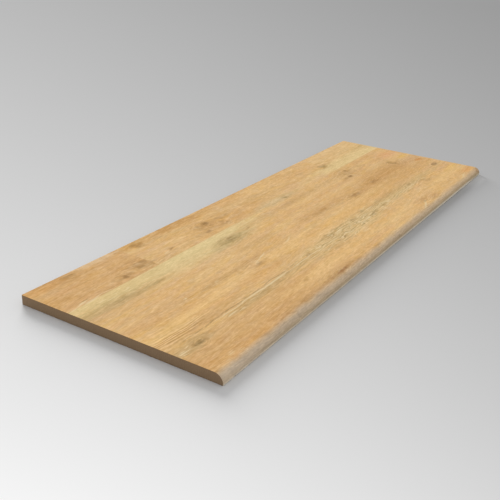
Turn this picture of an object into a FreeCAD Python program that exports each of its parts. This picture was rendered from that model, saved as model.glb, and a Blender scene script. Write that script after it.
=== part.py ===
"""Stair tread, a plain board whose front edge is rounded over into a nose.

The board lies flat. +X runs along its length, +Y from the nose to the back edge, and +Z up.
The origin is the centre of the underside's outline, so the tread stands on z = 0.
"""
import FreeCAD
import Part
import math
import os

# Driving dimensions, in millimetres
tread_length = 1200.0  # from sawn end to sawn end
tread_depth = 400.0  # from the front of the nose to the back edge
board_thickness = 18.0
nose_radius = 16.0  # quarter round on top of the front edge
lower_edge_radius = 1.5  # small round that takes the sharp edge off below the nose
thinnest_land = 0.3  # upright strip that stays between the two rounds


def rounded_corner(centre_y, centre_z, radius, start_angle):
    """A quarter circle in the YZ section, from start_angle to a quarter turn further."""

    def on_circle(angle):
        return FreeCAD.Vector(
            0,
            centre_y + radius * math.cos(angle),
            centre_z + radius * math.sin(angle),
        )

    quarter = math.pi / 2
    return Part.Arc(
        on_circle(start_angle),
        on_circle(start_angle + quarter / 2),
        on_circle(start_angle + quarter),
    ).toShape()


def section():
    """The board's cross-section at its left end, going round from the back edge's foot."""
    # The nose may take the whole edge but for the round below it and the land between them
    nose = min(nose_radius, board_thickness - lower_edge_radius - thinnest_land)
    front = -tread_depth / 2
    back = tread_depth / 2
    nose_centre_z = board_thickness - nose

    back_foot = FreeCAD.Vector(0, back, 0)
    back_top = FreeCAD.Vector(0, back, board_thickness)
    nose_start = FreeCAD.Vector(0, front + nose, board_thickness)
    land_top = FreeCAD.Vector(0, front, nose_centre_z)
    land_foot = FreeCAD.Vector(0, front, lower_edge_radius)
    underside_front = FreeCAD.Vector(0, front + lower_edge_radius, 0)

    return Part.Wire(
        [
            Part.makeLine(back_foot, back_top),
            Part.makeLine(back_top, nose_start),
            rounded_corner(front + nose, nose_centre_z, nose, math.pi / 2),
            Part.makeLine(land_top, land_foot),
            rounded_corner(
                front + lower_edge_radius, lower_edge_radius, lower_edge_radius, math.pi
            ),
            Part.makeLine(underside_front, back_foot),
        ]
    )


def tread_board():
    """The whole tread: its section carried straight from end to end."""
    outline = Part.Face(section())
    board = outline.extrude(FreeCAD.Vector(tread_length, 0, 0))
    board.translate(FreeCAD.Vector(-tread_length / 2, 0, 0))
    return board


def main():
    os.makedirs("parts", exist_ok=True)
    tread_board().exportStep("parts/tread_board.step")


main()
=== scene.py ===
"""Stair tread: the looks. One oak-faced board lies on a pale studio floor."""

import math

import bmesh
import bpy
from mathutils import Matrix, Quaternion, Vector


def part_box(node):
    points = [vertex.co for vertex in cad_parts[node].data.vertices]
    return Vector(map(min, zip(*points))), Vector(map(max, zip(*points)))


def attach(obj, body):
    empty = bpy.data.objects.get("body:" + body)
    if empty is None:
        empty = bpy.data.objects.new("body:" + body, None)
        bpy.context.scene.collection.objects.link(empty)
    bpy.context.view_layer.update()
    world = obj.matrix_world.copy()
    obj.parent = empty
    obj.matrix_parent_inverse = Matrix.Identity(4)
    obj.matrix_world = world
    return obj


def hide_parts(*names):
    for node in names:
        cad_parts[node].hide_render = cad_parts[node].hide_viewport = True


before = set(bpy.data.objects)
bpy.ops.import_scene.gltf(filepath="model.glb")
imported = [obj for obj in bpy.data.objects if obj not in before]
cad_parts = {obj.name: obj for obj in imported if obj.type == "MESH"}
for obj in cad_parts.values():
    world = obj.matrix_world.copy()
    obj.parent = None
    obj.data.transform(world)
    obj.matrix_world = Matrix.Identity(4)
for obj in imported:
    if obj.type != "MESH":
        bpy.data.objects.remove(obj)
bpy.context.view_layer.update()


# The board
# A pressed board, 18 mm thick, cut square at its ends and along its back. The top of its front
# edge is milled to a quarter round, and the foot of that edge is eased, so that the oak face can
# be drawn over it in one sheet. The sawn edges have only their sharpness taken off.

MM = 0.001
NOSE_RADIUS = 16 * MM
FOOT_RADIUS = 1.5 * MM
ARRIS = 0.4 * MM  # the sharpness that sanding takes off a sawn edge
ARRIS_STEPS = 2
EDGE_STEPS = 2
ROWS_ACROSS, STATIONS_ALONG = 24, 72  # these make the faces of the flat top about 16 mm square
NOSE_STEPS = 24
FOOT_STEPS = 6
FACE, SAWN, UNDERSIDE = range(3)  # the board's three surfaces, in the order of its materials
TOP_STRIP, NOSE_STRIP, UNDER_STRIP = 2, 3, 7  # where these come in the section

board_low, board_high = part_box("tread_board")


def arc(centre, radius, first, last, steps):
    """Points of the section from one angle to another, in degrees, both ends included."""
    turns = [math.radians(first + (last - first) * i / steps) for i in range(steps + 1)]
    return [
        (centre[0] + radius * math.cos(turn), centre[1] + radius * math.sin(turn))
        for turn in turns
    ]


def straight(start, end, steps):
    """Points of the section along a line, both ends included."""
    return [
        tuple(a + (b - a) * i / steps for a, b in zip(start, end))
        for i in range(steps + 1)
    ]


def section(shrink):
    """The section as strips of (surface, smooth, points), from the back edge over the top."""
    front, back = board_low.y + shrink, board_high.y - shrink
    foot, top = board_low.z + shrink, board_high.z - shrink
    nose = NOSE_RADIUS - shrink
    toe = FOOT_RADIUS - shrink
    return [
        (SAWN, False, straight((back, foot + ARRIS), (back, top - ARRIS), EDGE_STEPS)),
        (FACE, True, arc((back - ARRIS, top - ARRIS), ARRIS, 0, 90, ARRIS_STEPS)),
        (FACE, False, straight((back - ARRIS, top), (front + nose, top), ROWS_ACROSS)),
        (FACE, True, arc((front + nose, top - nose), nose, 90, 180, NOSE_STEPS)),
        (FACE, False, straight((front, top - nose), (front, foot + toe), 1)),
        (FACE, True, arc((front + toe, foot + toe), toe, 180, 270, FOOT_STEPS)),
        (UNDERSIDE, False, straight((front + toe, foot), (front + nose, foot), 1)),
        (UNDERSIDE, False, straight((front + nose, foot), (back - ARRIS, foot), ROWS_ACROSS)),
        (UNDERSIDE, True, arc((back - ARRIS, foot + ARRIS), ARRIS, 270, 360, ARRIS_STEPS)),
    ]


def ring(shrink):
    """The section's points, the surface and smoothness after each, and where each strip starts."""
    points, kinds, starts = [], [], []
    for surface, smooth, run in section(shrink):
        starts.append(len(points))
        points += run[:-1]
        kinds += [(surface, smooth)] * (len(run) - 1)
    return points, kinds, starts


def unrolled_across(points):
    """Each point's distance from the front of the nose, in mm, with the sheet drawn flat."""
    distances = []
    for index, (y, z) in enumerate(points):
        on_top = z >= board_high.z - 2 * ARRIS and y > board_low.y + NOSE_RADIUS
        if on_top or not index:
            distances.append((y - board_low.y) / MM)
        else:
            before = points[index - 1]
            distances.append(distances[-1] - math.hypot(y - before[0], z - before[1]) / MM)
    return distances


def build_board():
    """The board's mesh, with each point's place on the unrolled oak face in millimetres."""
    outer, kinds, starts = ring(0)
    inner, _, _ = ring(ARRIS)
    length = board_high.x - board_low.x
    worn_length = length - 2 * ARRIS
    stations = [(board_low.x, inner)]
    for station in range(STATIONS_ALONG + 1):
        stations.append((board_low.x + ARRIS + worn_length * station / STATIONS_ALONG, outer))
    stations.append((board_high.x, inner))

    shape = bmesh.new()
    unrolled = shape.verts.layers.float_vector.new("unrolled_mm")
    loops = []
    for x, points in stations:
        loop = []
        for (y, z), across_mm in zip(points, unrolled_across(points)):
            vertex = shape.verts.new((x, y, z))
            vertex[unrolled] = ((x - board_low.x) / MM, across_mm, 0)
            loop.append(vertex)
        loops.append(loop)

    for number, (loop, following) in enumerate(zip(loops, loops[1:])):
        rim = number in (0, len(loops) - 2)
        for index, (surface, smooth) in enumerate(kinds):
            after = (index + 1) % len(kinds)
            face = shape.faces.new((loop[index], following[index], following[after], loop[after]))
            face.material_index = surface
            face.smooth = smooth or rim

    # An end is a row of near-square faces, with the nose and the back edge closed by one face each
    top_first, top_last = starts[TOP_STRIP], starts[NOSE_STRIP]
    under_first = starts[UNDER_STRIP]
    under_last = under_first + ROWS_ACROSS
    for loop, outward in ((loops[0], -1), (loops[-1], 1)):
        cells = [
            (loop[top_first + i], loop[top_first + i + 1],
             loop[under_last - i - 1], loop[under_last - i])
            for i in range(ROWS_ACROSS)
        ]
        cells.append(tuple(loop[top_last : under_first + 1]))
        cells.append(tuple(loop[under_last:] + loop[: top_first + 1]))
        for corners in cells:
            face = shape.faces.new(corners if outward > 0 else corners[::-1])
            face.material_index = SAWN
    bmesh.ops.recalc_face_normals(shape, faces=shape.faces)
    mesh = bpy.data.meshes.new("stair_tread")
    shape.to_mesh(mesh)
    shape.free()
    return mesh


tread = bpy.data.objects.new("stair_tread", build_board())
bpy.context.scene.collection.objects.link(tread)
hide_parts("tread_board")
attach(tread, "root")


# The oak face
# A printed oak sheet of three planks laid lengthwise, knotty, oiled and lightly limed, pressed
# onto the board and drawn over the nose. The back plank is butt-jointed near the left end, and
# two lengths of pale sapwood run along the seam between the back and the middle plank.


def linear(hex_colour):
    """An sRGB hex colour as the linear numbers that a shader takes."""
    channels = [int(hex_colour[i : i + 2], 16) / 255 for i in (1, 3, 5)]
    return [c / 12.92 if c <= 0.04045 else ((c + 0.055) / 1.055) ** 2.4 for c in channels] + [1]


def add_node(tree, kind, inputs, output=0, **settings):
    """Adds a node, sets it, fills its sockets with values or links, and returns one output."""
    node = tree.nodes.new("ShaderNode" + kind)
    for name, value in settings.items():
        setattr(node, name, value)
    for socket, value in inputs.items():
        if isinstance(value, bpy.types.NodeSocket):
            tree.links.new(value, node.inputs[socket])
        else:
            node.inputs[socket].default_value = value
    return node.outputs[output] if node.outputs else None


def new_material(name):
    """An empty node material, and its tree."""
    material = bpy.data.materials.new(name)
    material.use_nodes = True
    material.node_tree.nodes.clear()
    return material, material.node_tree


# Printed, oiled oak: warm honey brown with fine lines along the grain, and a dull satin sheen
oak, grain = new_material("limed_oak_decor_satin")

SEAM_BACK = 295.5  # mm from the front of the nose, at the left end
SEAM_SKEW = 0.0025  # how far that seam comes forward for each mm to the right
SEAM_FRONT = 98.0
JOINT = 227.5  # mm from the left end, in the back plank only

# Places on the sheet are in mm: along from the left end, and across from the front of the nose
place = add_node(grain, "Attribute", {}, output=1, attribute_name="unrolled_mm")
along = add_node(grain, "SeparateXYZ", {"Vector": place})
across = along.node.outputs[1]

askew = add_node(grain, "Math", {0: along, 1: SEAM_SKEW, 2: across}, operation="MULTIPLY_ADD")
in_back = add_node(grain, "Math", {0: askew, 1: SEAM_BACK}, operation="GREATER_THAN")
in_front = add_node(grain, "Math", {0: across, 1: SEAM_FRONT}, operation="LESS_THAN")
in_either = add_node(grain, "Math", {0: in_back, 1: in_front}, operation="ADD")
in_middle = add_node(grain, "Math", {0: 1.0, 1: in_either}, operation="SUBTRACT")
past_joint = add_node(grain, "Math", {0: along, 1: JOINT}, operation="GREATER_THAN")
in_back_right = add_node(grain, "Math", {0: in_back, 1: past_joint}, operation="MULTIPLY")
in_back_left = add_node(grain, "Math", {0: in_back, 1: in_back_right}, operation="SUBTRACT")
PLANKS = {"middle": in_middle, "front": in_front, "left": in_back_left, "right": in_back_right}

SEED_STEP = (3.1, 1.7, 1.0)  # how far apart in the noise two seeds lie


def streaks(tree, point, length, width, seed, detail=2.0):
    """Soft noise from 0 to 1, drawn out along the board: its length and width are in mm."""
    drawn_out = add_node(
        tree,
        "VectorMath",
        {
            0: point,
            1: (1 / length, 1 / width, 1.0),
            2: tuple(seed * step for step in SEED_STEP),
        },
        operation="MULTIPLY_ADD",
    )
    return add_node(tree, "TexNoise", {"Vector": drawn_out, "Scale": 1.0, "Detail": detail})


# Nothing in wood has a clean outline, so every mark is placed on a slightly stirred sheet
STIR_LENGTH, STIR_WIDTH = 28, 9  # mm, the size of one swirl
MARK_STIR = (30.0, 9.0, 0.0)  # mm, the full swing of a mark's outline
FLOW_STIR = (14.0, 4.5, 0.0)  # mm, the full swing of the lines of the grain
swirl = add_node(
    grain, "VectorMath", {0: place, 1: (1 / STIR_LENGTH, 1 / STIR_WIDTH, 1)}, operation="MULTIPLY"
)
stir = add_node(grain, "TexNoise", {"Vector": swirl, "Scale": 1.0, "Detail": 4.0}, output=1)
centred = add_node(grain, "VectorMath", {0: stir, 1: (0.5, 0.5, 0.5)}, operation="SUBTRACT")
stirred = add_node(
    grain, "VectorMath", {0: centred, 1: MARK_STIR, 2: place}, operation="MULTIPLY_ADD"
)

# Knots: place and half size in mm, colour, strength of the knot, strength of the stain round it
BROWN, DEEP, OLIVE, OCHRE = "#8A622A", "#64481C", "#7F6C32", "#8E6A26"
KNOTS = (
    ((93, 387), (13, 5), OLIVE, 0.22, 0.35),
    ((46, 305), (15, 1.5), OCHRE, 0.4, 0.1),
    ((110, 301), (22, 1.4), OCHRE, 0.3, 0.1),
    ((153, 311), (12, 6), BROWN, 0.5, 0.4),
    ((209, 321), (17, 12), "#8F7654", 0.28, 0.4),
    ((266, 386), (15, 7), "#946C32", 0.36, 0.3),
    ((268, 376), (9, 5), "#946C32", 0.42, 0.2),
    ((293, 321), (6, 3), BROWN, 0.5, 0.3),
    ((434, 344), (11, 5), "#6A4A1C", 0.42, 0.35),
    ((432, 341), (27, 11), BROWN, 0.18, 0.45),
    ((406, 314), (9, 3), "#845824", 0.4, 0.4),
    ((462, 322), (10, 9), "#A97F50", 0.1, 0.3),
    ((398, 256), (15, 7), "#76662E", 0.22, 0.55),
    ((412, 262), (9, 3), OLIVE, 0.2, 0.45),
    ((98, 260), (24, 3), OLIVE, 0.14, 0.2),
    ((176, 251), (7, 3), OLIVE, 0.05, 0.1),
    ((472, 262), (6, 3), BROWN, 0.35, 0.3),
    ((675, 292), (8, 5), OLIVE, 0.38, 0.15),
    ((944, 332), (14, 7), "#7D6A34", 0.5, 0.6),
    ((915, 242), (13, 5), "#6A4614", 0.56, 0.75),
    ((934, 258), (24, 12), BROWN, 0.12, 0.35),
    ((945, 272), (8, 3), BROWN, 0.52, 0.3),
    ((655, 187), (25, 4), "#96662A", 0.2, 0.3),
    ((799, 175), (20, 5), "#85541C", 0.42, 0.5),
    ((918, 180), (13, 6), "#966424", 0.28, 0.4),
    ((1088, 206), (9, 12), OCHRE, 0.45, 0.4),
    ((1093, 196), (8, 6), "#946C30", 0.5, 0.3),
    ((336, 152), (11, 4), "#7C5220", 0.36, 0.3),
    ((49, 79), (7, 5), "#6A5426", 0.5, 0.5),
    ((58, 77), (6, 4), "#6A5426", 0.5, 0.4),
    ((433, 99), (9, 4), BROWN, 0.42, 0.2),
    ((544, 110), (10, 4), OLIVE, 0.42, 0.5),
    ((557, 81), (9, 4), BROWN, 0.22, 0.15),
    ((652, 110), (10, 3.5), "#7A6030", 0.26, 0.2),
    ((710, 87), (10, 4), OLIVE, 0.32, 0.4),
    ((775, 92), (9, 4), BROWN, 0.02, 0.1),
    ((949, 102), (10, 4), "#7A6030", 0.28, 0.25),
    ((1008, 87), (12, 4), OLIVE, 0.2, 0.3),
    ((1014, 76), (10, 3), OCHRE, 0.2, 0.3),
    ((1155, 112), (12, 5), "#6C4414", 0.56, 0.5),
    ((410, 16), (17, 4.5), "#8F5C2E", 0.55, 0.5),
    ((332, 51), (8, 4), BROWN, 0.18, 0.1),
    ((871, 38), (12, 5), "#A8763F", 0.28, 0.3),
    ((865, 26), (5, 3), DEEP, 0.55, 0.3),
    ((915, 21), (11, 6), "#AA7A44", 0.35, 0.35),
)
# The grain is pushed sideways round a knot, by a share of its distance from the knot's middle.
# Reaches are in squared half sizes of the knot: over each, the effect falls to about a third.
BEND = 0.75
BEND_REACH = 8
STAIN_REACH = 5

flow = add_node(
    grain, "VectorMath", {0: centred, 1: FLOW_STIR, 2: place}, operation="MULTIPLY_ADD"
)
knot_fields = []
nearest = None
for where, size, _, _, stain_strength in KNOTS:
    offset = add_node(grain, "VectorMath", {0: stirred, 1: (*where, 0)}, operation="SUBTRACT")
    in_knots = add_node(
        grain, "VectorMath", {0: offset, 1: (1 / size[0], 1 / size[1], 0)}, operation="MULTIPLY"
    )
    squared = add_node(
        grain, "VectorMath", {0: in_knots, 1: in_knots}, output=1, operation="DOT_PRODUCT"
    )
    knot_fields.append(squared)
    near = add_node(grain, "Math", {0: math.exp(-1 / BEND_REACH), 1: squared}, operation="POWER")
    aside = add_node(grain, "VectorMath", {0: offset, "Scale": near}, operation="SCALE")
    flow = add_node(
        grain, "VectorMath", {0: aside, 1: (0, -BEND, 0), 2: flow}, operation="MULTIPLY_ADD"
    )
    # A knot with a weaker stain counts as one that lies further off
    fainter = -STAIN_REACH * math.log(stain_strength)
    distance = add_node(grain, "Math", {0: squared, 1: fainter}, operation="ADD")
    if nearest is None:
        nearest = distance
    else:
        nearest = add_node(grain, "Math", {0: nearest, 1: distance}, operation="MINIMUM")

# The grain drifts sideways as it runs, in its own way in each plank. The middle plank counts as
# number 0, the two lengths of the back one as 1 and 2, and the front one as 3.
PLANK_STEP = 7.3  # how far apart in the noise the planks are taken
DRIFT = 22.0  # mm to either side
plank = add_node(
    grain, "Math", {0: in_front, 1: 3.0, 2: in_back_left}, operation="MULTIPLY_ADD"
)
plank = add_node(grain, "Math", {0: in_back_right, 1: 2.0, 2: plank}, operation="MULTIPLY_ADD")
own_noise = add_node(grain, "Math", {0: plank, 1: PLANK_STEP}, operation="MULTIPLY")
drift = streaks(grain, place, 420, 150, 1, detail=1.0)
drift = add_node(grain, "Math", {0: drift, 1: 2 * DRIFT, 2: -DRIFT}, operation="MULTIPLY_ADD")
drift = add_node(grain, "CombineXYZ", {1: drift, 2: own_noise})
flow = add_node(grain, "VectorMath", {0: flow, 1: drift}, operation="ADD")
calm = add_node(grain, "VectorMath", {0: place, 1: drift}, operation="ADD")

# The ground colour wanders between two browns, and from there to gold, pink and grey beige.
# A Mix node takes its two colours at sockets 6 and 7, and gives the result at output 2.
tone = streaks(grain, calm, 260, 34, 2, detail=1.0)
tone_share = add_node(grain, "MapRange", {"Value": tone, "From Min": 0.3, "From Max": 0.7})
colour = add_node(
    grain,
    "Mix",
    {0: tone_share, 6: linear("#D8AA6D"), 7: linear("#E0B97F")},
    output=2,
    data_type="RGBA",
)
HUES = (  # seed, length and width of a patch in mm, colour, strength
    (8, (90, 21), "#E5B868", 0.26),
    (9, (90, 21), "#DBAC82", 0.2),
    (10, (90, 21), "#CBB380", 0.16),
    (11, (34, 12), "#E8B45C", 0.22),
    (13, (28, 10), "#D2B48E", 0.24),
)
for seed, (length, width), hue, strength in HUES:
    patchy = streaks(grain, calm, length, width, seed, detail=1.0)
    share = add_node(
        grain,
        "MapRange",
        {"Value": patchy, "From Min": 0.48, "From Max": 0.7, "To Max": strength},
        interpolation_type="SMOOTHSTEP",
    )
    colour = add_node(
        grain, "Mix", {0: share, 6: colour, 7: linear(hue)}, output=2, data_type="RGBA"
    )

# Marks fray along the grain at their outline
FRAY = 0.8  # of a mark's half size, to either side
fray = streaks(grain, flow, 46, 5, 70, detail=3.0)
fray = add_node(grain, "Math", {0: fray, 1: 2 * FRAY, 2: -FRAY}, operation="MULTIPLY_ADD")


def soft_oval(where, size, softness, strength, tilt=0.0):
    """How far a soft, frayed mark covers the sheet: place and half size in mm, tilt in degrees."""
    half_length, half_width = size
    turn = math.radians(tilt)
    steep = math.sqrt(1 / half_width**2 - 1 / half_length**2)
    offset = add_node(grain, "VectorMath", {0: stirred, 1: (*where, 0)}, operation="SUBTRACT")
    # The length of this cross product is 1 all along the outline of an oval at that tilt
    inside = add_node(
        grain,
        "VectorMath",
        {0: offset, 1: (steep * math.cos(turn), steep * math.sin(turn), 1 / half_length)},
        operation="CROSS_PRODUCT",
    )
    reach = add_node(grain, "VectorMath", {0: inside}, output=1, operation="LENGTH")
    frayed = add_node(grain, "Math", {0: reach, 1: fray}, operation="ADD")
    return add_node(
        grain,
        "MapRange",
        {
            "Value": frayed,
            "From Min": 1 + softness / 2,
            "From Max": 1 - softness / 2,
            "To Max": strength,
        },
        interpolation_type="SMOOTHSTEP",
    )


# Patches: place and half size in mm, softness, colour, strength, and the plank that it keeps to,
# where "all" lets it run over the seams
SAPWOOD, OLIVE_GREY, GOLD, ORANGE = "#DEC48A", "#CBAF78", "#E4B468", "#DB9E58"
PATCHES = (
    # Browner stretches of whole planks
    ((110, 345), (400, 200), 0.5, "#CB9C66", 0.42, "left"),
    ((170, 46), (270, 44), 0.9, "#C99C66", 0.5, "front"),
    ((100, 112), (130, 11), 1.2, "#C49B66", 0.5, "middle"),
    ((330, 15), (190, 7), 1.2, "#B48A5A", 0.6, "front"),
    # Sapwood along the back seam, and the wood beside it
    ((190, 286), (270, 25), 0.8, SAPWOOD, 0.85, "middle"),
    ((350, 276), (150, 33), 1.4, "#E3CB92", 0.75, "middle"),
    ((250, 255), (90, 18), 1.5, "#DCC08A", 0.45, "middle"),
    ((1060, 308), (190, 28), 1.0, "#E5CA8E", 0.85, "right"),
    ((1080, 350), (160, 34), 1.6, "#E0BC80", 0.5, "right"),
    ((1165, 336), (50, 9), 1.4, "#C7A566", 0.5, "right"),
    ((690, 335), (150, 13), 1.4, "#C09458", 0.3, "right"),
    ((740, 375), (110, 15), 1.4, "#EBC68A", 0.35, "right"),
    # Olive shades in front of the sapwood
    ((40, 262), (120, 11), 1.4, "#BDA36C", 0.65, "middle"),
    ((115, 252), (80, 6), 1.4, "#BA9F68", 0.55, "middle"),
    ((400, 254), (60, 14), 1.4, "#B8A26E", 0.7, "middle"),
    ((650, 298), (80, 12), 1.6, "#CFB688", 0.6, "all"),
    # Brown heartwood in the middle plank
    ((985, 165), (190, 50), 1.4, "#CB9C5C", 0.55, "middle"),
    ((1000, 188), (120, 20), 1.4, "#BE8C4C", 0.35, "middle"),
    ((660, 190), (90, 10), 1.6, "#C09056", 0.45, "middle"),
    # Olive along the front seam
    ((32, 82), (45, 13), 1.2, "#B89D6C", 0.5, "front"),
    ((240, 88), (90, 9), 1.4, "#BA9E6C", 0.5, "front"),
    ((580, 94), (210, 22), 1.2, OLIVE_GREY, 0.55, "all"),
    ((850, 101), (230, 12), 1.4, OLIVE_GREY, 0.6, "all"),
    # Gold, pink, pale and brown streaks of the middle plank
    ((700, 140), (230, 13), 1.6, GOLD, 0.35, "middle"),
    ((60, 136), (80, 11), 1.4, "#E6BC76", 0.4, "middle"),
    ((50, 248), (90, 14), 1.4, "#CFAE80", 0.35, "middle"),
    ((60, 185), (110, 16), 1.4, "#D4AE80", 0.35, "middle"),
    ((330, 232), (90, 12), 1.4, "#D8B488", 0.35, "middle"),
    ((1150, 175), (60, 18), 1.4, "#D0A87C", 0.4, "middle"),
    ((175, 143), (95, 10), 1.4, "#EDC587", 0.55, "middle"),
    ((435, 151), (75, 14), 1.4, "#EBC384", 0.5, "middle"),
    ((770, 155), (110, 10), 1.4, "#E8C083", 0.4, "middle"),
    ((535, 125), (65, 8), 1.4, "#EBC68C", 0.45, "middle"),
    ((690, 247), (90, 8), 1.4, "#E8C288", 0.4, "middle"),
    ((850, 220), (60, 8), 1.4, "#E8C186", 0.4, "middle"),
    ((690, 267), (260, 8), 1.4, "#B98F55", 0.36, "middle"),
    ((430, 208), (65, 9), 1.4, "#BC9258", 0.4, "middle"),
    ((290, 172), (120, 7), 1.4, "#B98F58", 0.45, "middle"),
    ((850, 113), (90, 8), 1.4, "#BA9256", 0.35, "middle"),
    # Gold and pale streaks of the front plank
    ((500, 52), (260, 12), 1.6, GOLD, 0.35, "front"),
    ((350, 92), (90, 6), 1.4, "#B8935C", 0.4, "front"),
    ((390, 47), (110, 13), 1.4, "#EBC488", 0.5, "front"),
    ((745, 37), (75, 10), 1.4, "#EAC488", 0.45, "front"),
    ((630, 77), (70, 9), 1.4, "#E8C88E", 0.4, "front"),
    ((1080, 52), (110, 16), 1.4, "#EAC280", 0.5, "front"),
    # The back edge, brown, gold and pale by turns
    ((385, 388), (100, 13), 1.0, "#C69452", 0.75, "right"),
    ((1100, 388), (150, 16), 1.4, "#EBC890", 0.5, "right"),
    ((165, 396), (60, 9), 1.4, "#E6C79C", 0.6, "left"),
    ((248, 386), (22, 12), 1.4, "#D8A660", 0.7, "right"),
    ((50, 388), (70, 12), 1.6, "#CE9552", 0.45, "left"),
    # Warm wood beside the nose and at the far end
    ((135, 18), (60, 6), 1.4, ORANGE, 0.15, "front"),
    ((1162, 25), (28, 9), 1.4, ORANGE, 0.7, "front"),
    ((1158, 66), (38, 8), 1.4, "#E6BA60", 0.5, "front"),
    ((1168, 160), (14, 6), 1.2, "#C98236", 0.75, "middle"),
    ((1168, 207), (22, 9), 1.4, "#E4B65C", 0.65, "middle"),
    ((1155, 245), (40, 18), 1.6, "#E6AA76", 0.55, "middle"),
    ((1110, 222), (80, 10), 1.4, "#E4B97C", 0.35, "middle"),
)
for where, size, softness, hue, strength, kept_to in PATCHES:
    cover = soft_oval(where, size, softness, strength)
    if kept_to in PLANKS:
        cover = add_node(grain, "Math", {0: cover, 1: PLANKS[kept_to]}, operation="MULTIPLY")
    colour = add_node(
        grain, "Mix", {0: cover, 6: colour, 7: linear(hue)}, output=2, data_type="RGBA"
    )

# The mottled stain that a knot leaves in the wood round it
round_knot = add_node(
    grain, "Math", {0: math.exp(-1 / STAIN_REACH), 1: nearest}, operation="POWER"
)
mottle = streaks(grain, stirred, 11, 3.2, 12, detail=3.0)
mottled = add_node(
    grain, "MapRange", {"Value": mottle, "From Min": 0.3, "From Max": 0.7, "To Max": 0.75}
)
stain = add_node(grain, "Math", {0: round_knot, 1: mottled}, operation="MULTIPLY")
colour = add_node(
    grain, "Mix", {0: stain, 6: colour, 7: linear("#A67B3A")}, output=2, data_type="RGBA"
)

# Over the nose the sheet turns a dull grey beige of painted sheen, with a browner band of painted
# shade below that, and it is palest at its foot, a painted reflection of the pale floor. Towards
# the far end it greys less, and the two lower bands show more and climb.
CLIMB_FROM, CLIMB_TO = 250.0, 1100.0  # mm from the left end
CLIMB = 2.3  # mm
RAGGED = 9.0  # mm, the full swing of a ragged edge
ragged_edge = streaks(grain, place, 32, 400, 50, detail=4.0)
centred_across = add_node(grain, "Math", {0: across, 1: -RAGGED / 2}, operation="ADD")
ragged_across = add_node(
    grain, "Math", {0: ragged_edge, 1: RAGGED, 2: centred_across}, operation="MULTIPLY_ADD"
)
climb = add_node(
    grain,
    "MapRange",
    {"Value": along, "From Min": CLIMB_FROM, "From Max": CLIMB_TO, "To Max": CLIMB},
)
ragged_climbing = add_node(grain, "Math", {0: ragged_across, 1: climb}, operation="SUBTRACT")
even_climbing = add_node(grain, "Math", {0: across, 1: climb}, operation="SUBTRACT")
# Bands of painted sheen, shade and reflection: the level that the edge follows, where the band
# starts and is whole in mm across the unrolled sheet, its colour, and its strength near the left
# end and near the far end
NOSE_PAINTED_LIGHT_BANDS = (
    # painted sheen over the curve
    (ragged_across, 17.5, 4.0, "#C8B398", 0.92, 0.62),
    # painted shade on the front, under the curve
    (ragged_climbing, 1.3, -3.7, "#B59C6E", 0.28, 0.44),
    # painted reflection of the pale floor, on the foot
    (even_climbing, -5.8, -9.0, "#FAF0DC", 0.68, 0.9),
)
for level, start, full, hue, near_strength, far_strength in NOSE_PAINTED_LIGHT_BANDS:
    strength = add_node(
        grain,
        "MapRange",
        {
            "Value": along,
            "From Min": CLIMB_FROM,
            "From Max": CLIMB_TO,
            "To Min": near_strength,
            "To Max": far_strength,
        },
    )
    painted_light_share = add_node(
        grain,
        "MapRange",
        {"Value": level, "From Min": start, "From Max": full, "To Max": strength},
        interpolation_type="SMOOTHSTEP",
    )
    colour = add_node(
        grain, "Mix", {0: painted_light_share, 6: colour, 7: linear(hue)}, output=2, data_type="RGBA"
    )

# Marks on the nose itself, two of them by the far end: place, half size, colour, strength. The
# pale one by the left end is painted light that weakens the painted shade there, and the two
# darker ones by the far end weaken the painted sheen and the painted reflection by the corner.
NOSE_PAINTED_LIGHT_MARKS = (
    ((30, -2), (90, 8), "#DCC8B0", 0.45),
    ((1165, -6), (50, 4), "#B09A70", 0.6),
    ((1194, 4), (14, 7), "#A67E50", 0.6),
)
for where, size, hue, strength in NOSE_PAINTED_LIGHT_MARKS:
    cover = soft_oval(where, size, 1.2, strength)
    colour = add_node(
        grain, "Mix", {0: cover, 6: colour, 7: linear(hue)}, output=2, data_type="RGBA"
    )

# Lines of the grain, from broad to fine, and its short flecks, from large to small: length and
# width in mm, and share of the brightness either way. The finest real lines are 0.3 mm wide, and
# are drawn wider so that they show.
GRAIN_LINES = (
    (300, 10, 0.05),
    (110, 5, 0.08),
    (60, 2.2, 0.13),
    (24, 1.2, 0.2),
    (46, 13, 0.13),
    (20, 6, 0.22),
    (8, 2.8, 0.27),
)
light = 1.0
for seed, (length, width, share) in enumerate(GRAIN_LINES, start=20):
    line = streaks(grain, flow, length, width, seed)
    line = add_node(
        grain, "Math", {0: line, 1: 2 * share, 2: 1 - share}, operation="MULTIPLY_ADD"
    )
    light = add_node(grain, "Math", {0: light, 1: line}, operation="MULTIPLY")

# Growth rings show as close dark lines, most of all at the left end and along the front seam.
# Real ones lie 1 to 3 mm apart, and these are drawn wider apart so that they show.
RING_PITCH = 5.6  # mm
RING_WAVER = 22.0  # the full swing of their phase, in radians
flow_across = add_node(grain, "SeparateXYZ", {"Vector": flow}, output=1)
ring_waver = streaks(grain, flow, 120, 26, 30, detail=1.0)
ring_waver = add_node(grain, "Math", {0: ring_waver, 1: RING_WAVER}, operation="MULTIPLY")
ring_phase = add_node(
    grain,
    "Math",
    {0: flow_across, 1: 2 * math.pi / RING_PITCH, 2: ring_waver},
    operation="MULTIPLY_ADD",
)
ring_line = add_node(grain, "Math", {0: ring_phase}, operation="SINE")
RING_ZONES = (  # place, half size, added depth
    ((45, 118), (60, 14), 0.25),
    ((200, 96), (150, 10), 0.05),
    ((600, 95), (190, 23), 0.11),
    ((960, 95), (200, 14), 0.06),
    ((330, 160), (70, 16), 0.05),
)
ring_depth = 0.014  # everywhere else
for where, size, strength in RING_ZONES:
    zone = soft_oval(where, size, 0.9, strength)
    ring_depth = add_node(grain, "Math", {0: ring_depth, 1: zone}, operation="ADD")
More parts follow.
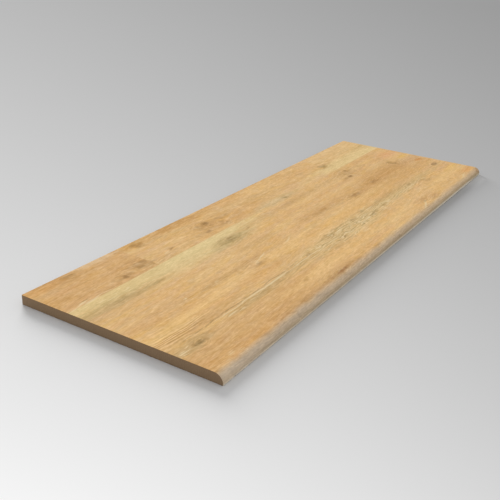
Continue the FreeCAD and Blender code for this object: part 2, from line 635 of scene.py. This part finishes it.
ring_shade = add_node(grain, "Math", {0: ring_line, 1: ring_depth}, operation="MULTIPLY")
light = add_node(grain, "Math", {0: ring_shade, 1: light}, operation="ADD")

# A knot has rings of its own, which fade with its stain
KNOT_RING_STEP = 8.5  # radians of phase for each half size of the knot
KNOT_RING_DEPTH = 0.05
from_knot = add_node(grain, "Math", {0: nearest}, operation="SQRT")
knot_phase = add_node(grain, "Math", {0: from_knot, 1: KNOT_RING_STEP}, operation="MULTIPLY")
knot_ring = add_node(grain, "Math", {0: knot_phase}, operation="SINE")
knot_ring_depth = add_node(grain, "Math", {0: stain, 1: KNOT_RING_DEPTH}, operation="MULTIPLY")
light = add_node(
    grain, "Math", {0: knot_ring, 1: knot_ring_depth, 2: light}, operation="MULTIPLY_ADD"
)

# The lines shift blue by more than its share, as lime and dust in the grain do, so that a dark
# line is greyer than the ground and not a deeper orange
LINE_SHIFT = (0.53, 0.42, 0.28)
lighter = add_node(grain, "Math", {0: light, 1: 1.0}, operation="SUBTRACT")
lighter = add_node(grain, "VectorMath", {0: LINE_SHIFT, "Scale": lighter}, operation="SCALE")
colour = add_node(grain, "VectorMath", {0: colour, 1: lighter}, operation="ADD")

# The knots themselves, broken up by the fibres that cross them
BROKEN = 2.5  # squared half sizes of the knot, to either side
broken = add_node(grain, "Math", {0: mottle, 1: 2 * BROKEN, 2: -BROKEN}, operation="MULTIPLY_ADD")
for squared, (_, _, hue, strength, _) in zip(knot_fields, KNOTS):
    ragged = add_node(grain, "Math", {0: squared, 1: broken}, operation="ADD")
    cover = add_node(
        grain,
        "MapRange",
        {"Value": ragged, "From Min": 2.0, "From Max": -0.2, "To Max": strength},
        interpolation_type="SMOOTHSTEP",
    )
    colour = add_node(
        grain, "Mix", {0: cover, 6: colour, 7: linear(hue)}, output=2, data_type="RGBA"
    )

# Small dark checks in the wood round a knot
check = streaks(grain, flow, 17, 3.2, 60)
check = add_node(
    grain,
    "MapRange",
    {"Value": check, "From Min": 0.5, "From Max": 0.62, "To Max": 0.8},
    interpolation_type="SMOOTHSTEP",
)
check = add_node(grain, "Math", {0: check, 1: round_knot}, operation="MULTIPLY")
colour = add_node(
    grain, "Mix", {0: check, 6: colour, 7: linear("#8A6432")}, output=2, data_type="RGBA"
)

# Lime left in the open grain, in short pale flecks: a little everywhere, more round the knots,
# and most in the zones listed, by place, half size and strength
LIME_EVERYWHERE = 0.1
LIME_ROUND_KNOT = 0.25
lime = streaks(grain, flow, 22, 2.3, 40)
lime = add_node(
    grain,
    "MapRange",
    {"Value": lime, "From Min": 0.52, "From Max": 0.66},
    interpolation_type="SMOOTHSTEP",
)
LIME_ZONES = (
    ((600, 93), (130, 20), 0.6),
    ((720, 93), (110, 14), 0.45),
    ((440, 95), (90, 15), 0.45),
    ((930, 95), (80, 9), 0.45),
    ((50, 20), (55, 8), 0.45),
    ((215, 172), (60, 6), 0.35),
    ((12, 82), (20, 12), 0.75),
    ((90, 277), (60, 7), 0.5),
    ((355, 162), (40, 13), 0.5),
    ((850, 22), (34, 9), 0.7),
    ((1120, 18), (34, 5), 0.6),
    ((565, 268), (20, 9), 0.5),
    ((1035, 358), (40, 8), 0.5),
)
lime_reach = add_node(
    grain,
    "Math",
    {0: round_knot, 1: LIME_ROUND_KNOT, 2: LIME_EVERYWHERE},
    operation="MULTIPLY_ADD",
)
for where, size, strength in LIME_ZONES:
    zone = soft_oval(where, size, 1.0, strength)
    lime_reach = add_node(grain, "Math", {0: lime_reach, 1: zone}, operation="MAXIMUM")
lime = add_node(grain, "Math", {0: lime, 1: lime_reach}, operation="MULTIPLY")

# Along the middle of the front seam the grain curls, in short pale waves with olive between them
CURL_PITCH = 9.0  # mm
CURL_WAVER = 30.0  # the full swing of their phase, in radians
curl_waver = streaks(grain, stirred, 52, 17, 33)
curl_waver = add_node(grain, "Math", {0: curl_waver, 1: CURL_WAVER}, operation="MULTIPLY")
curl_phase = add_node(
    grain,
    "Math",
    {0: flow_across, 1: 2 * math.pi / CURL_PITCH, 2: curl_waver},
    operation="MULTIPLY_ADD",
)
curl = add_node(grain, "Math", {0: curl_phase}, operation="SINE")
curl_gaps = streaks(grain, stirred, 34, 9, 34)
curl_gaps = add_node(grain, "MapRange", {"Value": curl_gaps, "From Min": 0.4, "From Max": 0.62})
CURL_ZONES = (  # place, half size, strength
    ((585, 93), (140, 24), 0.85),
    ((700, 104), (110, 19), 0.6),
    ((910, 94), (110, 8), 0.5),
    ((250, 93), (120, 7), 0.4),
)
curl_reach = 0.0
for where, size, strength in CURL_ZONES:
    zone = soft_oval(where, size, 1.0, strength)
    curl_reach = add_node(grain, "Math", {0: curl_reach, 1: zone}, operation="MAXIMUM")
curl_reach = add_node(grain, "Math", {0: curl_reach, 1: curl_gaps}, operation="MULTIPLY")
crest = add_node(grain, "MapRange", {"Value": curl, "From Min": 0.0, "From Max": 1.0})
crest = add_node(grain, "Math", {0: crest, 1: curl_reach}, operation="MULTIPLY")
lime = add_node(grain, "Math", {0: lime, 1: crest}, operation="MAXIMUM")
trough = add_node(grain, "MapRange", {"Value": curl, "From Min": -0.1, "From Max": -1.0})
trough = add_node(grain, "Math", {0: trough, 1: curl_reach}, operation="MULTIPLY")
colour = add_node(
    grain, "Mix", {0: trough, 6: colour, 7: linear("#A58A58")}, output=2, data_type="RGBA"
)

# The front seam shows as a fine dark line, not quite straight, which breaks up in places and is
# clearest towards the left end
SEAM_LINE = SEAM_FRONT + 1.5  # mm from the front of the nose
SEAM_WAVER = 14.0  # mm, the full swing of the line
CLEAREST_AT, CLEAREST_SIZE = (185, 99), (170, 60)
wavering = streaks(grain, place, 70, 400, 71)
wavering = add_node(
    grain, "Math", {0: wavering, 1: SEAM_WAVER, 2: across}, operation="MULTIPLY_ADD"
)
off_seam = add_node(
    grain, "Math", {0: wavering, 1: SEAM_LINE + SEAM_WAVER / 2}, operation="SUBTRACT"
)
off_seam = add_node(grain, "Math", {0: off_seam}, operation="ABSOLUTE")
seam = add_node(grain, "MapRange", {"Value": off_seam, "From Min": 2.2, "From Max": 0.3})
seam_reach = soft_oval(CLEAREST_AT, CLEAREST_SIZE, 1.2, 0.8)
dashes = add_node(grain, "MapRange", {"Value": mottle, "From Min": 0.36, "From Max": 0.56})
seam_reach = add_node(grain, "Math", {0: seam_reach, 1: dashes}, operation="MULTIPLY")
seam = add_node(grain, "Math", {0: seam, 1: seam_reach}, operation="MULTIPLY")
colour = add_node(
    grain, "Mix", {0: seam, 6: colour, 7: linear("#A18354")}, output=2, data_type="RGBA"
)

# Single pale strokes of lime: place, half size, tilt in degrees, strength
STROKES = (
    ((274, 318), (11, 1.6), 8, 0.6),
    ((368, 167), (20, 1.7), 18, 0.6),
    ((352, 162), (10, 1.4), 10, 0.5),
    ((470, 168), (20, 2.2), 12, 0.5),
    ((146, 178), (3, 1.8), 0, 0.8),
    ((155, 87), (12, 1.2), 4, 0.6),
    ((180, 84), (9, 1.1), 0, 0.5),
    ((845, 20), (26, 3.2), 20, 0.6),
    ((1115, 17), (28, 1.5), 10, 0.55),
    ((804, 95), (7, 2.0), 110, 0.6),
    ((812, 94), (7, 2.0), 110, 0.5),
    ((60, 298), (45, 1.3), 0, 0.5),
    ((36, 301), (15, 1.7), 8, 0.75),
    ((54, 296), (16, 1.4), 6, 0.6),
    ((12, 296), (10, 1.4), 4, 0.6),
    ((270, 95), (95, 2.0), 0, 0.75),
    ((180, 95), (60, 1.8), 0, 0.6),
    ((420, 95), (60, 1.6), 0, 0.55),
    ((940, 93), (36, 1.6), 0, 0.6),
)
for where, size, tilt, strength in STROKES:
    stroke = soft_oval(where, size, 1.2, strength, tilt)
    lime = add_node(grain, "Math", {0: lime, 1: stroke}, operation="MAXIMUM")
colour = add_node(
    grain, "Mix", {0: lime, 6: colour, 7: linear("#E9D2A4")}, output=2, data_type="RGBA"
)

# Open pores: short dark dashes, finer than a millimetre in real oak and drawn a little coarser
pores = streaks(grain, flow, 15, 1.1, 6, detail=1.0)
pore = add_node(
    grain,
    "MapRange",
    {"Value": pores, "From Min": 0.62, "From Max": 0.74},
    interpolation_type="SMOOTHSTEP",
)
pore_share = add_node(grain, "Math", {0: pore, 1: 0.3}, operation="MULTIPLY")
colour = add_node(
    grain, "Mix", {0: pore_share, 6: colour, 7: linear("#A07848")}, output=2, data_type="RGBA"
)

PORE_DEPTH = 0.05 * MM
dip = add_node(grain, "Math", {0: pore, 1: -1.0}, operation="MULTIPLY")
normal = add_node(grain, "Bump", {"Height": dip, "Strength": 0.25, "Distance": PORE_DEPTH})
finish = add_node(
    grain,
    "BsdfPrincipled",
    {"Base Color": colour, "Roughness": 0.5, "Specular IOR Level": 0.3, "Normal": normal},
)
add_node(grain, "OutputMaterial", {"Surface": finish})


# The sawn ends and back edge
# Brown pressed wood fibre, left as the saw cut it: dull and even, with short flattened fibres, a
# denser and darker skin under each face, and faint upright marks from the teeth of the saw.

# Sawn fibreboard: a flat brown that takes no shine, and looks even from a step away
fibreboard, saw = new_material("sawn_brown_fibreboard")
SKIN = 2.5  # mm
THICK = (board_high.z - board_low.z) / MM
SAW_PITCH = 3.8  # mm
spot = add_node(saw, "TexCoord", {}, output=3)  # in the board's own metres
spot_mm = add_node(saw, "VectorMath", {0: spot, "Scale": 1 / MM}, operation="SCALE")
beside = add_node(saw, "SeparateXYZ", {"Vector": spot_mm})
height = beside.node.outputs[2]

# Fibres are a tenth of a millimetre thick in the real board, and are drawn as bundles of them
FIBRES_PER_MM = (0.35, 0.35, 1.1)
CLUMPS_PER_MM = (0.045, 0.045, 0.16)
bundled = add_node(saw, "VectorMath", {0: spot_mm, 1: FIBRES_PER_MM}, operation="MULTIPLY")
fibres = add_node(saw, "TexNoise", {"Vector": bundled, "Scale": 1.0, "Detail": 3.0})
clumped = add_node(saw, "VectorMath", {0: spot_mm, 1: CLUMPS_PER_MM}, operation="MULTIPLY")
clumps = add_node(saw, "TexNoise", {"Vector": clumped, "Scale": 1.0, "Detail": 1.0})
cut_face = add_node(
    saw,
    "Mix",
    {0: fibres, 6: linear("#725A40"), 7: linear("#AA8E6E")},
    output=2,
    data_type="RGBA",
)
clump_share = add_node(saw, "Math", {0: clumps, 1: 0.35}, operation="MULTIPLY")
cut_face = add_node(
    saw, "Mix", {0: clump_share, 6: cut_face, 7: linear("#8B6F4F")}, output=2, data_type="RGBA"
)
from_middle = add_node(saw, "Math", {0: height, 1: THICK / 2}, operation="SUBTRACT")
from_middle = add_node(saw, "Math", {0: from_middle}, operation="ABSOLUTE")
skin = add_node(
    saw,
    "MapRange",
    {"Value": from_middle, "From Min": THICK / 2 - SKIN, "From Max": THICK / 2, "To Max": 0.4},
    interpolation_type="SMOOTHSTEP",
)
cut_face = add_node(
    saw, "Mix", {0: skin, 6: cut_face, 7: linear("#6E563E")}, output=2, data_type="RGBA"
)

# An end has its teeth marks spaced along the width, and the back edge along the length
CUT_DEPTH = 0.1 * MM
edgewise = add_node(saw, "Math", {0: beside, 1: beside.node.outputs[1]}, operation="ADD")
tooth = add_node(saw, "Math", {0: edgewise, 1: 2 * math.pi / SAW_PITCH}, operation="MULTIPLY")
tooth = add_node(saw, "Math", {0: tooth}, operation="SINE")
tooth_share = add_node(saw, "MapRange", {"Value": tooth, "From Min": -1.0, "To Max": 0.1})
cut_face = add_node(
    saw, "Mix", {0: tooth_share, 6: cut_face, 7: linear("#5F4A36")}, output=2, data_type="RGBA"
)
rough_cut = add_node(saw, "Math", {0: tooth, 1: 0.4, 2: fibres}, operation="MULTIPLY_ADD")
normal = add_node(saw, "Bump", {"Height": rough_cut, "Strength": 0.4, "Distance": CUT_DEPTH})
finish = add_node(
    saw, "BsdfPrincipled", {"Base Color": cut_face, "Roughness": 0.85, "Normal": normal}
)
add_node(saw, "OutputMaterial", {"Surface": finish})


# The underside
# The bare pressed face of the same board, sanded flat: brown, mottled and dull, with the faint
# long scratches of a sanding belt.

# Sanded fibreboard: a mottled brown, a touch smoother to the eye than the sawn edge
backing, press = new_material("pressed_fibreboard_underside")
spot = add_node(press, "TexCoord", {}, output=3)
spot_mm = add_node(press, "VectorMath", {0: spot, "Scale": 1 / MM}, operation="SCALE")
MOTTLES = (  # seed, length and width in mm, colour, strength; the last are the belt's scratches
    (1, (60, 45), "#7D6449", 0.6),
    (2, (9, 7), "#9C8163", 0.5),
    (3, (2.4, 1.8), "#6C5540", 0.5),
    (4, (160, 1.6), "#A28869", 0.35),
)
under = linear("#8A6F52")
for seed, (length, width), hue, strength in MOTTLES:
    share = streaks(press, spot_mm, length, width, seed)
    share = add_node(
        press,
        "MapRange",
        {"Value": share, "From Min": 0.4, "From Max": 0.7, "To Max": strength},
        interpolation_type="SMOOTHSTEP",
    )
    under = add_node(press, "Mix", {0: share, 6: under, 7: linear(hue)}, output=2, data_type="RGBA")
finish = add_node(press, "BsdfPrincipled", {"Base Color": under, "Roughness": 0.7})
add_node(press, "OutputMaterial", {"Surface": finish})

for material in (oak, fibreboard, backing):
    tread.data.materials.append(material)


# The studio
# Paper under the tread, nearly white in front of it and grey far off as a painted pool of light,
# in an even pale surround. Two broad soft lamps stand behind the tread on the right: a high one
# for the tread alone, and a low one for the paper alone, so that the shadow spreads to the front
# and the left.

CAMERA_PLACE = Vector((-1.3255, -0.6767, 0.5959))
CAMERA_YAW, CAMERA_DIP, CAMERA_ROLL = (math.radians(a) for a in (58.585, 24.027, 2.522))
AHEAD = Vector((math.sin(CAMERA_YAW), math.cos(CAMERA_YAW), 0))
RIGHTWARD = Vector((AHEAD.y, -AHEAD.x, 0))

FLOOR_REACH = 60.0  # m
FLOOR_DROP = 0.1 * MM  # keeps the paper and the underside from sharing one plane
floor_mesh = bpy.data.meshes.new("studio_floor")
floor_mesh.from_pydata(
    [(x * FLOOR_REACH, y * FLOOR_REACH, -FLOOR_DROP)
     for x, y in ((-1, -1), (1, -1), (1, 1), (-1, 1))],
    [],
    [(0, 1, 2, 3)],
)
floor = bpy.data.objects.new("studio_floor", floor_mesh)
bpy.context.scene.collection.objects.link(floor)

# Studio paper: matt, without a fibre or a highlight in sight, and with a pool of light painted on
# it. Its grey, on the screen's scale of 0 to 1, rises towards a palest point on the floor just
# behind the camera, as painted light that falls off with distance.
paper, sheet = new_material("studio_paper_painted_light_pool")
GAMMA = 2.2  # from the screen's scale to light
FAR_GREY = 0.622
NEAR_RISE = 0.268  # added at 1 m from the palest point, and less in proportion further off
PALEST_BEHIND = 0.266  # m behind the camera
PALEST = CAMERA_PLACE - PALEST_BEHIND * AHEAD
PALEST_REACH = 0.9  # m from that point within which the grey is even
spot = add_node(sheet, "NewGeometry", {})
from_palest = add_node(
    sheet, "VectorMath", {0: spot, 1: (PALEST.x, PALEST.y, 0)}, operation="SUBTRACT"
)
metres_off = add_node(sheet, "VectorMath", {0: from_palest}, output=1, operation="LENGTH")
metres_off = add_node(sheet, "Math", {0: metres_off, 1: PALEST_REACH}, operation="MAXIMUM")
painted_light_rise = add_node(sheet, "Math", {0: NEAR_RISE, 1: metres_off}, operation="DIVIDE")

# The painted light is darker to the right and paler to the left, which fades out far off
SIDE_FALL = 0.19
FADES_FROM, FADES_TO = 7.0, 16.0  # m from the palest point
to_right = add_node(
    sheet, "VectorMath", {0: from_palest, 1: tuple(RIGHTWARD)}, output=1, operation="DOT_PRODUCT"
)
side = add_node(sheet, "Math", {0: to_right, 1: metres_off}, operation="DIVIDE")
side_fall = add_node(
    sheet,
    "MapRange",
    {
        "Value": metres_off,
        "From Min": FADES_FROM,
        "From Max": FADES_TO,
        "To Min": -SIDE_FALL,
        "To Max": 0.0,
    },
)
grey = add_node(sheet, "Math", {0: side, 1: side_fall, 2: painted_light_rise}, operation="MULTIPLY_ADD")
grey = add_node(sheet, "Math", {0: grey, 1: FAR_GREY}, operation="ADD")

# Outside the photo, under and behind the camera, the paper stays short of white
ahead = add_node(
    sheet, "VectorMath", {0: from_palest, 1: tuple(AHEAD)}, output=1, operation="DOT_PRODUCT"
)
whitest = add_node(
    sheet,
    "MapRange",
    {"Value": ahead, "From Min": -1.0, "From Max": 0.85, "To Min": 0.75, "To Max": 1.05},
)
grey = add_node(sheet, "Math", {0: grey, 1: whitest}, operation="MINIMUM")
grey = add_node(sheet, "Math", {0: grey, 1: GAMMA}, operation="POWER")

# The photo's shadow thins out towards the far corner of the nose, and paler paper stands in for
# that: a strip along the nose, which ends at a slant by the far end. Its places are in metres.
PALER = 0.42  # the share by which the paper gets paler
PALER_FROM, PALER_TO = 0.43, 0.58  # to the right of the tread's middle, where it sets in
PALER_END, PALER_SLANT, PALER_EDGE = 0.604, 1.1, 0.01
NOSE_NEAR, NOSE_FAR = 0.01, 0.035  # off the nose, where it is whole and where it has gone
spot_along = add_node(sheet, "SeparateXYZ", {"Vector": spot})
nearing = add_node(
    sheet,
    "MapRange",
    {"Value": spot_along, "From Min": PALER_FROM, "From Max": PALER_TO, "To Max": PALER},
    interpolation_type="SMOOTHSTEP",
)
off_nose = add_node(
    sheet, "Math", {0: spot_along.node.outputs[1], 1: board_low.y}, operation="SUBTRACT"
)
off_nose = add_node(sheet, "Math", {0: off_nose}, operation="ABSOLUTE")
slanting = add_node(
    sheet, "Math", {0: off_nose, 1: PALER_SLANT, 2: spot_along}, operation="MULTIPLY_ADD"
)
short_of_end = add_node(
    sheet,
    "MapRange",
    {"Value": slanting, "From Min": PALER_END, "From Max": PALER_END - PALER_EDGE},
    interpolation_type="SMOOTHSTEP",
)
by_nose = add_node(
    sheet,
    "MapRange",
    {"Value": off_nose, "From Min": NOSE_FAR, "From Max": NOSE_NEAR},
    interpolation_type="SMOOTHSTEP",
)
paler = add_node(sheet, "Math", {0: nearing, 1: short_of_end}, operation="MULTIPLY")
paler = add_node(sheet, "Math", {0: paler, 1: by_nose, 2: 1.0}, operation="MULTIPLY_ADD")
grey = add_node(sheet, "Math", {0: grey, 1: paler}, operation="MULTIPLY")
finish = add_node(sheet, "BsdfDiffuse", {"Color": grey})
add_node(sheet, "OutputMaterial", {"Surface": finish})
floor_mesh.materials.append(paper)

# The surround lights everything evenly, and shows itself in the grey of the far paper
SURROUND = 0.62
world = bpy.data.worlds.new("studio_surround")
world.use_nodes = True
world.node_tree.nodes.clear()
sky = world.node_tree
lit = add_node(sky, "Background", {"Color": (1, 1, 1, 1), "Strength": SURROUND})
seen = add_node(sky, "Background", {"Color": (1, 1, 1, 1), "Strength": FAR_GREY**GAMMA})
camera_ray = add_node(sky, "LightPath", {})
glossy_ray = camera_ray.node.outputs["Is Glossy Ray"]
clear_ray = camera_ray.node.outputs["Is Transmission Ray"]
seen_rays = add_node(sky, "Math", {0: camera_ray, 1: glossy_ray}, operation="MAXIMUM")
seen_rays = add_node(sky, "Math", {0: seen_rays, 1: clear_ray}, operation="MAXIMUM")
around = add_node(sky, "MixShader", {0: seen_rays, 1: lit, 2: seen})
add_node(sky, "OutputWorld", {"Surface": around})
bpy.context.scene.world = world

# Each lamp gives a level surface what the surround leaves to be lit, so that white renders white
LAMPS = (  # name, what it lights, then in degrees its bearing, height and breadth
    ("low_floor_lamp", floor, 51.5, 14.4, 32),
    ("high_tread_lamp", tread, 44.5, 55, 50),
)
for name, target, bearing, lift, breadth in LAMPS:
    turn, elevation = math.radians(bearing), math.radians(lift)
    lamp_data = bpy.data.lights.new(name, "SUN")
    lamp_data.angle = math.radians(breadth)
    lamp_data.energy = (1 - SURROUND) * math.pi / math.sin(elevation)
    lamp = bpy.data.objects.new(name, lamp_data)
    bpy.context.scene.collection.objects.link(lamp)
    from_lamp = Vector((math.cos(turn), math.sin(turn), math.tan(elevation)))
    lamp.rotation_mode = "QUATERNION"
    lamp.rotation_quaternion = from_lamp.to_track_quat("Z", "Y")
    lamp.visible_camera = False
    lamp.visible_glossy = False
    lit_things = bpy.data.collections.new(name + "_lights")
    lit_things.objects.link(target)
    lamp.light_linking.receiver_collection = lit_things

# The camera looks along the tread from beyond the left end of its nose
LENS, SENSOR = 53.635, 36.0  # mm
view = AHEAD * math.cos(CAMERA_DIP) - Vector((0, 0, math.sin(CAMERA_DIP)))
camera_data = bpy.data.cameras.new("photo_camera")
camera_data.lens = LENS
camera_data.sensor_width = SENSOR
camera = bpy.data.objects.new("photo_camera", camera_data)
bpy.context.scene.collection.objects.link(camera)
camera.location = CAMERA_PLACE
camera.rotation_mode = "QUATERNION"
camera.rotation_quaternion = Quaternion(view, -CAMERA_ROLL) @ view.to_track_quat("-Z", "Y")
bpy.context.scene.camera = camera

bpy.context.scene.view_settings.view_transform = "Standard"
